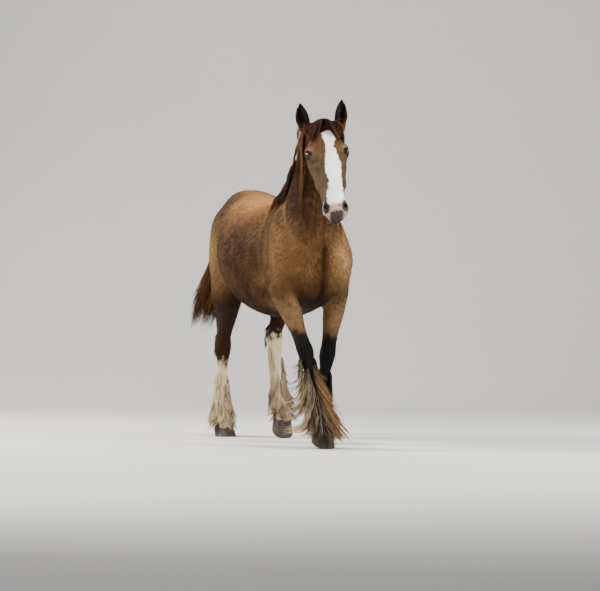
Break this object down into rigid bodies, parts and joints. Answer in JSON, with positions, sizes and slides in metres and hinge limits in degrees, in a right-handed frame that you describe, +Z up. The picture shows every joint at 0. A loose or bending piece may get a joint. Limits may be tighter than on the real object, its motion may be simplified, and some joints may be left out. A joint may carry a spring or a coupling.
{
  "type": "gypsy vanner horse",
  "caption": "Life-size still model of a young bay gypsy vanner horse walking forward, with a white blaze, parted forelock, swept tail and long feathered legs.",
  "frame": {"origin": "on the floor, under the middle of the horse's box", "axes": "+X to the horse's left, -Y the way it faces, +Z up"},
  "size_m": [0.5978, 1.979, 1.8608],
  "materials": {
    "bay_coat": "short glossy hair, golden brown with darker patches",
    "ear": "short dark hair",
    "eye": "wet and dark",
    "tail_hair": "long rust-brown hair with golden tips",
    "black_feather": "long black hair with grey and rust ends",
    "cream_feather": "long cream and brown hair",
    "horn": "dark grey horn, dull"
  },
  "bodies": {
    "root": {"torso": "bay_coat", "neck": "bay_coat", "head": "bay_coat", "ear_left": "ear", "ear_right": "ear", "eye_left": "eye", "eye_right": "eye", "tail": "tail_hair", "fore_right_upper": "bay_coat", "fore_left_upper": "bay_coat", "hind_right_upper": "bay_coat", "hind_left_upper": "bay_coat", "fore_right_lower": "black_feather", "fore_left_lower": "black_feather", "hind_right_lower": "cream_feather", "hind_left_lower": "cream_feather", "fore_right_hoof": "horn", "fore_left_hoof": "horn", "hind_right_hoof": "horn", "hind_left_hoof": "horn"}
  },
  "joints": []
}
